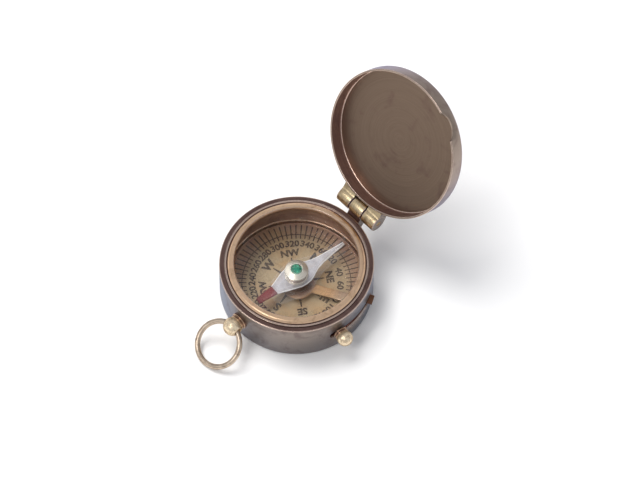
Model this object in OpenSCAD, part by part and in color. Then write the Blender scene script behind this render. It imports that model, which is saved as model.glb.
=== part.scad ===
// Lidded pocket compass: a turned cup with a printed dial and a balanced needle under glass,
// a hinged lid, a ball-headed bow with a loose ring, and a sliding lock that works a lifting lever.
// The base stands on z = 0 with the origin at its centre. The hinge is at +Y, the bow at -Y and
// the lock's slot round +X. The lid is drawn open, at lid_open, and the ring lies on the surface.

/* [Case] */
// Outer radius of the case wall
case_r = 25; // [24.6:0.1:26]
// Height from the base to the shoulder that the lid closes on
case_h = 15.7; // [15.6:0.1:17]
// Radius of the case's bore
bore_r = 23.4; // [23.3:0.05:23.5]
// Thickness of the case's floor
floor_t = 1.4; // [1:0.1:1.5]
// Rounding where the wall meets the base
base_edge_r = 0.7; // [0.3:0.1:1]
// Bevel of the shoulder's outer edge
rim_bevel = 0.3; // [0.1:0.1:0.4]

/* [Dial and glass] */
// Radius of the dial plate
dial_r = 22.2; // [21:0.1:22.6]
// Thickness of the dial plate
dial_t = 1.6; // [0.8:0.1:1.7]
// Height of the ring that holds the dial down, from the floor
dial_ring_h = 2.2; // [1.8:0.1:2.3]
// Height of the glass's underside
glass_z = 14.05; // [14:0.05:14.2]
// Thickness of the glass
glass_t = 0.9; // [0.7:0.1:1]
// Radius of the glass and of the bezel ring above it
glass_r = 23.3; // [23.2:0.05:23.3]
// Radius of the bezel ring's opening
bezel_in_r = 20; // [19.8:0.1:20.4]
// Height of the bezel ring's inner lip
bezel_lip_z = 16.9; // [16.6:0.1:17.4]

/* [Needle] */
// Direction of the needle's north tip, degrees from +X
needle_a = 84.4; // [0:0.1:360]
// Height of the blade's underside
needle_z = 7.55; // [7.5:0.05:7.6]
// Thickness of the blade
needle_t = 0.5; // [0.3:0.05:0.5]
// Length of the blade from the pivot to the north tip
north_l = 19.4; // [17:0.1:19.5]
// Length of the blade from the pivot to the south end
south_l = 15.8; // [14:0.1:18]
// Radius of the hub's top rim and of the flange on the blade
hub_r = 3.85; // [3.5:0.05:4]
// Height of the hub's top rim
hub_rim_z = 11.2; // [11:0.1:11.3]
// Radius of the green jewel
jewel_r = 1.9; // [1.5:0.01:1.95]

/* [Lifting lever] */
// Direction of the lever's arm, degrees from +X
lever_a = 29.4; // [29:0.1:30]
// Distance of the arm's centre line from the pivot, to the right of the arm's direction
lever_offset = 1.5; // [1.4:0.1:1.6]
// Width of the arm
lever_w = 3.3; // [3:0.1:3.4]
// Thickness of the strip
lever_t = 0.5; // [0.4:0.05:0.5]
// Radius of the lifting disc under the needle
lever_disc_r = 5.4; // [5:0.1:6]
// Height of the disc's underside
lever_z = 4.4; // [4.2:0.1:4.4]
// Height of the tongue's underside, where it passes through the wall
tongue_z = 7.75; // [7.7:0.05:7.8]

/* [Lock] */
// Angle of the knob, degrees from +X
knob_a = -9.4; // [-10:0.1:-9]
// Height of the slot's centre line, and of the knob
slot_z = 8; // [7.9:0.05:8.1]
// Height of the slot
slot_w = 3; // [2.2:0.1:3.2]
// Angles of the slot's two ends
slot_ends = [-18, 31]; // [-20:1:33]
// Thickness of the sliding band inside the wall
band_t = 0.6; // [0.4:0.1:0.7]
// Radius of the knob's ball head
ball_r = 2.6; // [2.5:0.05:2.6]
// Distance of the knob ball's centre from the case's axis
knob_r = 27.9; // [27.8:0.1:28.2]

/* [Bow and ring] */
// Radius of the bow's ball head
bow_ball_r = 3.1; // [2.9:0.05:3.2]
// Distance of the bow ball's centre from the case's axis
bow_r = 28.2; // [28:0.1:28.3]
// Height of the bow ball's centre
bow_z = 8.8; // [8.8:0.1:9]
// Radius of the ring, to the middle of its wire
ring_r = 7.4; // [7:0.01:7.45]
// Radius of the ring's wire
wire_r = 0.9; // [0.7:0.02:0.96]
// Angle by which the ring droops below level
ring_droop = 31.9; // [28:0.1:31.9]

/* [Lid and hinge] */
// Outer radius of the lid
lid_r = 24.82; // [24.8:0.01:24.9]
// Height of the closed lid above the shoulder
lid_h = 5.65; // [5.6:0.05:6]
// Depth of the lid's hollow
lid_depth = 4.85; // [4.5:0.05:4.9]
// Thickness of the lid's rim
lid_wall = 0.67; // [0.6:0.01:0.8]
// Angle by which the lid is open
lid_open = 120.7; // [0:0.1:175]
// Angle of the thumb notch, degrees from +X with the lid closed
notch_a = -53.8; // [-80:0.1:-20]
// Radius of the thumb notch
notch_r = 5.8; // [5:0.1:7]
// Depth of the thumb notch
notch_depth = 2.4; // [2:0.1:2.6]
// Distance of the hinge's axis from the case's axis
hinge_y = 28.55; // [28.5:0.05:29]
// Height of the hinge's axis
hinge_z = 17.68; // [17.6:0.02:18]
// Radius of the hinge's barrel
barrel_r = 3; // [2.8:0.05:3]
// Length of the hinge's barrel
barrel_l = 17; // [15:0.5:18]
// Radius of the hinge pin
pin_r = 0.9; // [0.7:0.05:1]

/* [Hidden] */
fine = 180;
medium = 64;
// Clearance round a shaft that turns
running = 0.05;
dial_top = floor_t + dial_t;
// Length of a cutter that goes right through what it cuts
through = 5;
// The turned shell's seam lies away from the slot, the bow and the hinge
seam_a = 135;

// Colours
brass = "#b08d57";
bronze = "#7d6a5a";
copper = "#b87a48";

// Sets its children at a radius, an angle and a height, with +X pointing outwards
module at_wall(radius, angle, height)
    rotate([0, 0, angle]) translate([radius, 0, height]) children();

// A cylinder whose axis points along +X
module bar(radius, length) rotate([0, 90, 0]) cylinder(r = radius, h = length, $fn = medium);

// A plain ring or washer with its underside at z
module ring(outer, inner, z, height)
    translate([0, 0, z]) rotate_extrude($fn = fine) translate([inner, 0]) square([outer - inner, height]);

// ---------------------------------------------------------------- case

module case_profile() difference() {
    union() {
        translate([0, base_edge_r]) square([case_r, case_h - base_edge_r - rim_bevel]);
        square([case_r - base_edge_r, base_edge_r]);
        translate([case_r - base_edge_r, base_edge_r]) circle(r = base_edge_r, $fn = medium);
        translate([0, case_h - rim_bevel])
            polygon([[0, 0], [case_r, 0], [case_r - rim_bevel, rim_bevel], [0, rim_bevel]]);
    }
    translate([0, floor_t]) square([bore_r, case_h]);
}

// The slot's ends are round, so their centres lie half its width inside slot_ends.
// They are a hair narrower than the slot, so that no surface is tangent to another, and turned
// about their own axes, so that no seam lies on an edge.
slot_end_r = slot_w / 2 - 0.04;
slot_end_a = asin(slot_end_r / case_r);
slot_end_turn = 45;
slot_in_r = bore_r - 0.5;
wall_cut = case_r - bore_r + 1.4;
module slot_cut() {
    first = slot_ends[0] + slot_end_a;
    last = slot_ends[1] - slot_end_a;
    for (angle = [first, last])
        at_wall(slot_in_r, angle, slot_z) rotate([slot_end_turn, 0, 0]) bar(slot_end_r, wall_cut);
    rotate([0, 0, first]) translate([0, 0, slot_z - slot_w / 2])
        rotate_extrude(angle = last - first, $fn = fine)
            translate([slot_in_r, 0]) square([wall_cut, slot_w]);
}

module case_shell() color(bronze) difference() {
    rotate([0, 0, seam_a]) rotate_extrude($fn = fine) case_profile();
    slot_cut();
    at_wall(slot_in_r, -90, bow_z) bar(tenon_r, wall_cut);
}

// ---------------------------------------------------------------- dial and glass

post_foot_r = 0.8;
module dial_plate() color("#b4a27a")
    ring(dial_r, post_foot_r, floor_t, dial_t);

// The dial's ring is round on top
dial_ring_w = 0.6;
module dial_ring() color(brass) translate([0, 0, floor_t]) rotate_extrude($fn = fine) {
    translate([bore_r - dial_ring_w, 0]) square([dial_ring_w, dial_ring_h - dial_ring_w / 2]);
    translate([bore_r - dial_ring_w / 2, dial_ring_h - dial_ring_w / 2])
        circle(r = dial_ring_w / 2, $fn = medium);
}

// A split ring sprung into the bore, which carries the glass
seat_t = 0.5;
seat_w = 1.1;
split_a = 200;
split_w = 1.2;
module seat_ring() color(brass) difference() {
    ring(bore_r, bore_r - seat_w, glass_z - seat_t, seat_t);
    at_wall(bore_r - 2 * seat_w, split_a, glass_z - 2 * seat_t)
        translate([0, -split_w / 2, 0]) cube([3 * seat_w, split_w, 3 * seat_t]);
}

module glass() color("#cfe4e6", 0.35)
    translate([0, 0, glass_z]) cylinder(r = glass_r, h = glass_t, $fn = fine);

// The bezel's top rises inwards to a rounded lip
bezel_z = glass_z + glass_t;
bezel_wall_z = case_h + 0.6;
bezel_chamfer = 0.25;
bezel_foot_in = 0.5;
lip_r = 0.45;
lip_flat = 0.1;
module bezel_ring() color(brass) rotate_extrude($fn = fine) {
    polygon([
        [bezel_in_r + bezel_foot_in, bezel_z], [glass_r, bezel_z], [glass_r, bezel_wall_z],
        [glass_r - bezel_chamfer, bezel_wall_z + bezel_chamfer],
        [bezel_in_r + lip_r + lip_flat, bezel_lip_z], [bezel_in_r, bezel_lip_z - lip_r]
    ]);
    translate([bezel_in_r + lip_r, bezel_lip_z - lip_r]) circle(r = lip_r, $fn = medium);
}

// ---------------------------------------------------------------- pivot

post_r = 0.8;
post_top = 5.3;
post_flange_r = 1.5;
post_flange_h = 0.5;
point_r = 0.4;
point_z = 9.1;
point_cone = 0.9;
point_root_z = post_top - 1;
module pivot_post() color(brass) difference() {
    rotate_extrude($fn = medium) {
        translate([0, floor_t]) square([post_foot_r, dial_t]);
        translate([0, dial_top]) square([post_flange_r, post_flange_h]);
        translate([0, dial_top]) square([post_r, post_top - dial_top]);
    }
    translate([0, 0, point_root_z]) cylinder(r = point_r, h = through, $fn = medium);
}

module pivot_point() color("silver") {
    cone_z = point_z - point_cone;
    translate([0, 0, point_root_z]) cylinder(r = point_r, h = cone_z - point_root_z, $fn = medium);
    translate([0, 0, cone_z]) cylinder(r1 = point_r, r2 = 0, h = point_cone, $fn = medium);
}

// ---------------------------------------------------------------- needle

// Half widths of the blade along its length, from the north tip to the south end. Its right side is
// the fuller one near the hub.
blade_right = [
    [north_l, 0.5], [14, 1.1], [10, 1.65], [7.5, 2.25], [5.6, 3.1], [4, 4], [2.6, 4.5], [0.8, 4.72],
    [-1, 4.6], [-3.5, 3.75], [-9, 1.75], [-south_l, 1.05]
];
blade_left = [
    [north_l, 0.5], [14, 0.95], [10, 1.25], [7.5, 1.65], [5.6, 2.25], [4, 3], [2.6, 3.65], [0.8, 4.1],
    [-1, 4.2], [-3.5, 3.75], [-9, 1.75], [-south_l, 1.05]
];
sleeve_r = 1.9;
sleeve_z = 5.8;
cup_r = 1.3;
needle_top = needle_z + needle_t;
module needle_blade() color("#c4c4c8") rotate([0, 0, needle_a]) difference() {
    translate([0, 0, needle_z]) linear_extrude(needle_t) polygon(concat(
        blade_left, [for (i = [len(blade_right) - 1:-1:0]) [blade_right[i][0], -blade_right[i][1]]]));
    translate([0, 0, needle_z - 1]) cylinder(r = sleeve_r, h = through, $fn = medium);
}

// The flange that clamps the blade, with a neck up to the hub
collar_t = 0.45;
neck_r = 3.3;
neck_top = needle_top + 1.3;
module hub_collar() color(brass) {
    ring(hub_r, sleeve_r, needle_top, collar_t);
    ring(neck_r, sleeve_r, needle_top + collar_t, neck_top - needle_top - collar_t);
}

// The hub's sleeve reaches down through the blade, and its cone rises to the jewel
hub_top = 12;
jewel_seat_z = 11.4;
hub_web = 10;
hub_rim_t = 0.45;
jewel_collar_t = 0.15;
module needle_hub() color("#d8c08c") rotate_extrude($fn = fine) {
    translate([cup_r + running, sleeve_z]) square([sleeve_r - cup_r - running, hub_web - sleeve_z]);
    polygon([
        [0, hub_web], [neck_r, hub_web], [neck_r, hub_rim_z - hub_rim_t], [hub_r, hub_rim_z - hub_rim_t],
        [hub_r, hub_rim_z], [jewel_r + jewel_collar_t, hub_top], [jewel_r, hub_top], [jewel_r, jewel_seat_z],
        [0, jewel_seat_z]
    ]);
    translate([sleeve_r, neck_top]) square([neck_r - sleeve_r, hub_web - neck_top]);
}

// A domed stone: the cap of a sphere on a short cylinder
jewel_h = 0.74;
dome_h = 0.3;
dome_r = (jewel_r * jewel_r + dome_h * dome_h) / (2 * dome_h);
module hub_jewel() color("#1f9c74") translate([0, 0, jewel_seat_z]) intersection() {
    cylinder(r = jewel_r, h = jewel_h, $fn = fine);
    translate([0, 0, jewel_h - dome_r]) sphere(r = dome_r, $fn = fine);
}

// The cup that rests on the pivot's point
cup_z = 5.9;
cup_top = 9.9;
cup_bore = 0.95;
cup_apex = 9.45;
cup_cone = 0.95;
module bearing_cup() color("#b8863c") difference() {
    translate([0, 0, cup_z]) cylinder(r = cup_r, h = cup_top - cup_z, $fn = medium);
    translate([0, 0, cup_z - 1]) cylinder(r = cup_bore, h = cup_apex - cup_cone - cup_z + 1, $fn = medium);
    translate([0, 0, cup_apex - cup_cone]) cylinder(r1 = cup_bore, r2 = 0, h = cup_cone, $fn = medium);
}

// ---------------------------------------------------------------- lifting lever

arm_x = 2;
disc_x = 1;
riser_x = 20.4;
tongue_x = 26.4;
disc_hole_r = 1.3;
module lifter_lever() color(copper) rotate([0, 0, lever_a]) difference() {
    union() {
        translate([disc_x, -lever_offset, lever_z]) cylinder(r = lever_disc_r, h = lever_t, $fn = fine);
        translate([0, lever_w / 2 - lever_offset, 0]) rotate([90, 0, 0]) linear_extrude(lever_w) polygon([
            [arm_x, lever_z], [riser_x + lever_t, lever_z], [riser_x + lever_t, tongue_z],
            [tongue_x, tongue_z], [tongue_x, tongue_z + lever_t], [riser_x, tongue_z + lever_t],
            [riser_x, lever_z + lever_t], [arm_x, lever_z + lever_t]
        ]);
    }
    translate([0, 0, lever_z - 1]) cylinder(r = disc_hole_r, h = through, $fn = medium);
}

// ---------------------------------------------------------------- lock

// The band slides round inside the wall: its tall half carries the knob, its low half runs
// under the lever's arm
band_out_r = bore_r - 0.2;
band_in_r = band_out_r - band_t;
band_z = 4;
band_low = 7.55;
band_high = 9.7;
band_ends = [-62, 48];
band_step_a = knob_a + 3.2;
module band_arc(from, to, height) rotate([0, 0, from]) translate([0, 0, band_z])
    rotate_extrude(angle = to - from, $fn = fine)
        translate([band_in_r, 0]) square([band_t, height - band_z]);

stem_r = 1;
module lock_band() color(copper) difference() {
    union() {
        band_arc(band_ends[0], band_ends[1], band_low);
        band_arc(band_ends[0], band_step_a, band_high);
    }
    at_wall(band_in_r - 1, knob_a, slot_z) bar(stem_r, band_t + 2);
}

// A collar of three steps round a stem, from the wall outwards
module stepped_collar(radii, thickness, hole) rotate([0, 90, 0]) difference() {
    for (i = [0:len(radii) - 1])
        translate([0, 0, i * thickness]) cylinder(r = radii[i], h = thickness, $fn = fine);
    translate([0, 0, -1]) cylinder(r = hole, h = through, $fn = medium);
}

// A ball head: the ball is cut flat where it meets the collar, and its stem runs inwards
collar_gap = 0.12;
collar_step = 0.42;
ball_flat = 3 * collar_step + collar_gap;
module ball_head(ball, centre, radius, inner) {
    difference() {
        translate([centre, 0, 0]) sphere(r = ball, $fn = fine);
        translate([case_r + ball_flat - through, -through, -through])
            cube([through, 2 * through, 2 * through]);
    }
    translate([inner, 0, 0]) bar(radius, centre - inner);
}

knob_steps = [2.35, 2.05, 2.3];
module knob_collar() color("#8f5f4a") at_wall(case_r + collar_gap, knob_a, slot_z)
    stepped_collar(knob_steps, collar_step, stem_r);
module lock_knob() color(brass) at_wall(0, knob_a, slot_z)
    ball_head(ball_r, knob_r, stem_r, band_in_r);

// ---------------------------------------------------------------- bow and ring

tenon_r = 1.2;
tenon_in = bore_r - 0.3;
bow_steps = [2.9, 2.4, 2.65];
saddle_depth = 0.3;
// The bow's collar is hollowed to sit on the wall
module bow_collar() color(brass) difference() {
    union() {
        at_wall(case_r + collar_gap, -90, bow_z) stepped_collar(bow_steps, collar_step, tenon_r);
        at_wall(case_r - saddle_depth, -90, bow_z)
            stepped_collar([bow_steps[0]], saddle_depth + collar_gap + collar_step / 2, tenon_r);
    }
    cylinder(r = case_r, h = case_h, $fn = fine);
}

// The ring's hole widens to both sides, so that the curved wire can swing in it
eye_gap = 0.1;
module eye_cut() rotate([90, 0, 0]) rotate_extrude($fn = fine) difference() {
    translate([0, -bow_ball_r - eye_gap]) square([bow_ball_r + eye_gap, 2 * (bow_ball_r + eye_gap)]);
    translate([ring_r + wire_r + eye_gap, 0]) circle(r = ring_r, $fn = fine);
}
module bow_stud() color(brass) at_wall(0, -90, bow_z) difference() {
    ball_head(bow_ball_r, bow_r, tenon_r, tenon_in);
    translate([bow_r, 0, 0]) eye_cut();
}

module bow_ring() color(brass) at_wall(bow_r, -90, bow_z) rotate([0, ring_droop, 0])
    translate([ring_r, 0, 0]) rotate_extrude($fn = fine)
        translate([ring_r, 0]) circle(r = wire_r, $fn = medium);

// ---------------------------------------------------------------- lid and hinge

// Turns what is drawn on the closed lid to the open position
module opened() translate([0, hinge_y, hinge_z]) rotate([-lid_open, 0, 0]) translate([0, -hinge_y, -hinge_z])
    children();

knuckle_l = barrel_l / 3;
knuckle_gap = 0.1;
tall = 40;
// A length of barrel along X with a web to what carries it
module knuckle(x, hole, web) translate([x + knuckle_gap / 2, 0, 0]) difference() {
    union() {
        translate([0, hinge_y, hinge_z]) bar(barrel_r, knuckle_l - knuckle_gap);
        rotate([90, 0, 90]) linear_extrude(knuckle_l - knuckle_gap) polygon(web);
    }
    translate([-1, hinge_y, hinge_z]) bar(hole, knuckle_l + 2);
}

// The web under the middle knuckle stands clear of the wall's curve by a thin line
web_y = case_r + 0.02;
module case_knuckle() color(brass) difference() {
    knuckle(-knuckle_l / 2, pin_r, [
        [web_y - 1, 9.5], [web_y + 0.4, 9.5], [hinge_y - 0.9, 12.4], [hinge_y + 1.2, 14.2],
        [hinge_y + 2.6, 16.3], [hinge_y, hinge_z], [hinge_y - 2.7, 16.5], [web_y + 0.1, 15.2],
        [web_y - 1, 15.2]
    ]);
    translate([0, 0, -1]) cylinder(r = case_r, h = tall, $fn = fine);
}

module lid_knuckle(x) opened() difference() {
    knuckle(x, pin_r + running, [
        [lid_r - 1, case_h + 0.5], [lid_r + 0.5, case_h + 0.5], [hinge_y - 2.4, hinge_z - 1.8],
        [hinge_y, hinge_z], [hinge_y - 0.6, hinge_z + 2.94], [lid_r - 1, hinge_z + 2.7]
    ]);
    translate([0, 0, -1]) cylinder(r = lid_r, h = tall, $fn = fine);
}
module left_knuckle() color(brass) lid_knuckle(-barrel_l / 2);
module right_knuckle() color(brass) lid_knuckle(knuckle_l / 2);

pin_recess = 0.3;
module hinge_pin() color(brass) translate([pin_recess - barrel_l / 2, hinge_y, hinge_z])
    bar(pin_r, barrel_l - 2 * pin_recess);

// The lid's rim stands a hair above the shoulder when it is closed
lid_gap = 0.02;
lid_edge_r = 1.3;
lid_corner_r = 0.6;
module lid_profile() difference() {
    union() {
        square([lid_r, lid_h - lid_edge_r]);
        square([lid_r - lid_edge_r, lid_h]);
        translate([lid_r - lid_edge_r, lid_h - lid_edge_r]) circle(r = lid_edge_r, $fn = fine);
    }
    hollow_r = lid_r - lid_wall;
    translate([0, -1]) square([hollow_r, lid_depth - lid_corner_r + 1]);
    translate([0, -1]) square([hollow_r - lid_corner_r, lid_depth + 1]);
    translate([hollow_r - lid_corner_r, lid_depth - lid_corner_r]) circle(r = lid_corner_r, $fn = fine);
}
module lid_shell() color(bronze) opened() difference() {
    translate([0, 0, case_h + lid_gap]) rotate_extrude($fn = fine) lid_profile();
    at_wall(lid_r - through, notch_a, case_h + notch_depth - notch_r) bar(notch_r, 2 * through);
}

// ---------------------------------------------------------------- parts

case_shell();
dial_plate();
dial_ring();
seat_ring();
glass();
bezel_ring();
pivot_post();
pivot_point();
needle_blade();
hub_collar();
needle_hub();
hub_jewel();
bearing_cup();
lifter_lever();
lock_band();
knob_collar();
lock_knob();
bow_collar();
bow_stud();
bow_ring();
case_knuckle();
left_knuckle();
right_knuckle();
hinge_pin();
lid_shell();
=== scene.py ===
import math

import bmesh
import bpy
from mathutils import Matrix, Vector, noise


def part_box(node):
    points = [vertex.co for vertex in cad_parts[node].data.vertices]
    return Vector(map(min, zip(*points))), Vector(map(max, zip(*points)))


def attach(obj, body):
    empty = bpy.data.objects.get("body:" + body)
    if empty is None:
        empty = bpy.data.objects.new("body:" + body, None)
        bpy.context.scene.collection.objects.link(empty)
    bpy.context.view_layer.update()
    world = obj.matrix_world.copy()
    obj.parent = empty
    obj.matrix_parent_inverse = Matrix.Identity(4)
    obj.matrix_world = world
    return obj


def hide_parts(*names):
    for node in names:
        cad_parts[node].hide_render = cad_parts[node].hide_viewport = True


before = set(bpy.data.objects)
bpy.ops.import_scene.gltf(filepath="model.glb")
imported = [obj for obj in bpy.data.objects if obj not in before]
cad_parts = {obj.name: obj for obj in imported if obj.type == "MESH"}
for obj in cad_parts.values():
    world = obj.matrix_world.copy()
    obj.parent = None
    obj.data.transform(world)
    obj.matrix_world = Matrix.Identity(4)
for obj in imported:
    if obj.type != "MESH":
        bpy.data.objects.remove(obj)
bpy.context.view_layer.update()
MM = 0.001

# ------------------------------------------------------------------ camera, light and floor
# The compass stands on a pale table under soft boxes, seen from high above with a long lens,
# so that the case, the open lid and the ring all show.
camera_turn = math.radians(45.86)
camera_height = math.radians(60.88)
camera_roll = math.radians(0.8)
camera_distance = 1.398
looked_at = Vector((-7.375, 17.552, 0)) * MM
back = Vector((
    math.sin(camera_turn) * math.cos(camera_height),
    -math.cos(camera_turn) * math.cos(camera_height),
    math.sin(camera_height),
))
camera = bpy.data.objects.new("camera", bpy.data.cameras.new("camera"))
camera.data.lens = 240
camera.data.clip_end = 10
camera.location = looked_at + back * camera_distance
camera.rotation_mode = "QUATERNION"
aim = (-back).to_track_quat("-Z", "Y")
camera.rotation_quaternion = aim @ Matrix.Rotation(camera_roll, 3, "Z").to_quaternion()
bpy.context.scene.collection.objects.link(camera)
bpy.context.scene.camera = camera
bpy.context.scene.view_settings.view_transform = "Standard"

RIGHT = Vector((math.cos(camera_turn), math.sin(camera_turn), 0))
AWAY = Vector((-math.sin(camera_turn), math.cos(camera_turn), 0))
LIT_POINT = Vector((0, 0.02, 0.01))


def soft_box(name, side, away, height, width, facet_glint, power, tint, shows=True):
    """An area light so many metres to the right of, behind and above the compass, aimed at it."""
    lamp = bpy.data.objects.new(name, bpy.data.lights.new(name, "AREA"))
    lamp.data.shape = "RECTANGLE"
    lamp.data.size = width
    lamp.data.size_y = facet_glint
    lamp.data.energy = power
    lamp.data.color = tint
    lamp.visible_glossy = shows
    lamp.location = RIGHT * side + AWAY * away + Vector((0, 0, height))
    lamp.rotation_mode = "QUATERNION"
    lamp.rotation_quaternion = (LIT_POINT - lamp.location).to_track_quat("-Z", "Y")
    bpy.context.scene.collection.objects.link(lamp)


soft_box("fill_box", -0.42, 0.42, 1.05, 0.7, 0.7, 12.5, (1.0, 0.985, 0.965), shows=False)
soft_box("left_box", -0.30, -0.25, 0.55, 0.26, 0.26, 1.0, (1.0, 0.98, 0.95))
soft_box("back_box", 0.15, 0.60, 0.50, 0.5, 0.16, 0.35, (0.95, 0.97, 1.0))

world = bpy.data.worlds.new("studio")
bpy.context.scene.world = world
world.use_nodes = True


def feed(node, inputs):
    """Feeds inputs, by name or number, from plain values, sockets or the first outputs of other nodes."""
    for key, value in inputs.items():
        if isinstance(value, bpy.types.Node):
            value = next(socket for socket in value.outputs if socket.enabled)
        if isinstance(value, bpy.types.NodeSocket):
            node.id_data.links.new(value, node.inputs[key])
        else:
            node.inputs[key].default_value = value
    return node


def add(tree, kind, inputs=None, **settings):
    """Adds a node, sets its properties and feeds its inputs."""
    made = tree.nodes.new(kind)
    for key, value in settings.items():
        setattr(made, key, value)
    return feed(made, inputs or {})


def ramp(tree, value, start, end, low=0.0, high=1.0):
    """Carries a value that runs from start to end over to a range from low to high."""
    return add(tree, "ShaderNodeMapRange", {
        "Value": value, "From Min": start, "From Max": end, "To Min": low, "To Max": high})


def scaled(tree, value, factor, plus):
    """A value times a factor, plus another."""
    return add(tree, "ShaderNodeMath", {0: value, 1: factor, 2: plus}, operation="MULTIPLY_ADD")


def mottle(tree, where, scale, detail, roughness=0.5, distortion=0.0):
    """Cloudy noise at a place."""
    return add(tree, "ShaderNodeTexNoise", {
        "Vector": where, "Scale": scale, "Detail": detail, "Roughness": roughness, "Distortion": distortion})


def blend(tree, factor, first, second):
    """Goes from one colour to another, each three numbers or a node."""
    first, second = [(*colour, 1) if isinstance(colour, tuple) else colour for colour in (first, second)]
    return add(tree, "ShaderNodeMix", {"Factor": factor, "A": first, "B": second}, data_type="RGBA")


def new_material(name):
    """A node material, its tree, and its Principled shader to feed."""
    material = bpy.data.materials.new(name)
    material.use_nodes = True
    return material, material.node_tree, material.node_tree.nodes["Principled BSDF"]


feed(world.node_tree.nodes["Background"], {"Color": (0.92, 0.94, 1.0, 1), "Strength": 0.52})

floor_material, tree, shader = new_material("table_white")
grain = add(tree, "ShaderNodeTexNoise", {"Scale": 180.0, "Detail": 3.0})
feed(shader, {"Base Color": ramp(tree, grain, 0.0, 1.0, 0.92, 0.95), "Roughness": 0.7})
floor_mesh = bpy.data.meshes.new("table")
reach, under = 3, -0.00002
corners = [(-reach, -reach, under), (reach, -reach, under), (reach, reach, under), (-reach, reach, under)]
floor_mesh.from_pydata(corners, [], [(0, 1, 2, 3)])
floor_mesh.materials.append(floor_material)
table = bpy.data.objects.new("table", floor_mesh)
bpy.context.scene.collection.objects.link(table)

# ------------------------------------------------------------------ case
# The case is a cup turned from brass and left to darken. Its flat shoulder takes the lid's rim
# and is plum, patina with painted shade. Its edges are rubbed bright and painted paler as highlight
# lines, and a slot is milled through the wall for the lock.
CASE_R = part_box("case_shell")[1].x / MM
CASE_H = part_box("case_shell")[1].z / MM
BORE_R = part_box("dial_ring")[1].x / MM
FLOOR_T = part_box("dial_plate")[0].z / MM
RIM_FROM = CASE_H - 0.5


def moved(x, y, z):
    """A shift in mm."""
    return Matrix.Translation((x * MM, y * MM, z * MM))


def spun(degrees, axis):
    """A turn round an axis."""
    return Matrix.Rotation(math.radians(degrees), 4, axis)


def rounded(corners, steps=5):
    """A closed outline with its corners (x, y, radius) rounded. Each point says if it starts a rounding."""
    points = []
    for i, (x, y, radius) in enumerate(corners):
        here = Vector((x, y))
        before = (Vector(corners[i - 1][:2]) - here).normalized()
        after = (Vector(corners[(i + 1) % len(corners)][:2]) - here).normalized()
        opening = before.angle(after)
        if radius <= 0 or opening > math.pi - 0.02:
            points.append((x, y, False))
            continue
        centre = here + (before + after).normalized() * radius / math.sin(opening / 2)
        reach = radius / math.tan(opening / 2)
        first = here + before * reach - centre
        last = here + after * reach - centre
        sweep = math.pi - opening
        for k in range(steps + 1):
            share = k / steps
            spoke = first * math.sin((1 - share) * sweep) + last * math.sin(share * sweep)
            spoke = spoke / math.sin(sweep)
            points.append((centre.x + spoke.x, centre.y + spoke.y, k < steps))
    return points


def turned(outline, around=192, place=None):
    """Turns a closed outline of (radius, height, material) in mm about +Z."""
    bm = bmesh.new()
    turns = [2 * math.pi * k / around for k in range(around)]
    rings = []
    for radius, height, _ in outline:
        if radius < 1e-4:
            rings.append([bm.verts.new((0, 0, height * MM))])
            continue
        rings.append([
            bm.verts.new((radius * MM * math.cos(a), radius * MM * math.sin(a), height * MM)) for a in turns])
    for i, ring in enumerate(rings):
        following = rings[(i + 1) % len(rings)]
        if len(ring) == 1 and len(following) == 1:
            continue
        for k in range(around):
            corners = [ring[k % len(ring)], ring[(k + 1) % len(ring)],
                       following[(k + 1) % len(following)], following[k % len(following)]]
            face = bm.faces.new(list(dict.fromkeys(corners)))
            face.material_index = int(outline[i][2])
    bmesh.ops.recalc_face_normals(bm, faces=bm.faces)
    return shaped(bm, place)


def cylinder(radius, low, high, around, place=None, inner=0):
    """A plain cylinder or ring between two heights."""
    return turned([(inner, low, 0), (radius, low, 0), (radius, high, 0), (inner, high, 0)], around, place)


def shaped(bm, place=None, sharp=38):
    """Makes a bmesh a mesh in its place, smooth but for edges sharper than so many degrees."""
    mesh = bpy.data.meshes.new("shape")
    bm.to_mesh(mesh)
    bm.free()
    if place:
        mesh.transform(place)
    mesh.shade_smooth()
    mesh.set_sharp_from_angle(angle=math.radians(sharp))
    return mesh


def combined(mesh, others, materials, join=False, ease=0.0, angle=50):
    """Cuts other meshes out of a mesh or joins them to it. Edges are eased by so many mm, in material 1."""
    for material in materials:
        mesh.materials.append(material)
    scratch = bpy.data.objects.new("scratch", mesh)
    bpy.context.scene.collection.objects.link(scratch)
    tools = []
    for other in others:
        for material in materials:
            other.materials.append(material)
        tool = bpy.data.objects.new("tool", other)
        bpy.context.scene.collection.objects.link(tool)
        tools.append(tool)
        step = scratch.modifiers.new("combine", "BOOLEAN")
        step.operation = "UNION" if join else "DIFFERENCE"
        step.solver = "EXACT"
        step.object = tool
    if ease:
        step = scratch.modifiers.new("ease", "BEVEL")
        step.width = ease * MM
        step.segments = 2
        step.limit_method = "ANGLE"
        step.angle_limit = math.radians(angle)
        step.material = 1
    evaluated = scratch.evaluated_get(bpy.context.evaluated_depsgraph_get())
    result = bpy.data.meshes.new_from_object(evaluated)
    for unused in [scratch, *tools]:
        bpy.data.objects.remove(unused)
    result.shade_smooth()
    result.set_sharp_from_angle(angle=math.radians(38))
    return result


def finished(name, mesh, body, replaced, materials):
    """Makes the mesh a piece on a body, with its materials, in place of the CAD nodes named."""
    mesh.name = name
    if not mesh.materials:
        for material in materials:
            mesh.materials.append(material)
    piece = bpy.data.objects.new(name, mesh)
    bpy.context.scene.collection.objects.link(piece)
    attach(piece, body)
    if replaced:
        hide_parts(*replaced)
    return piece


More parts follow.
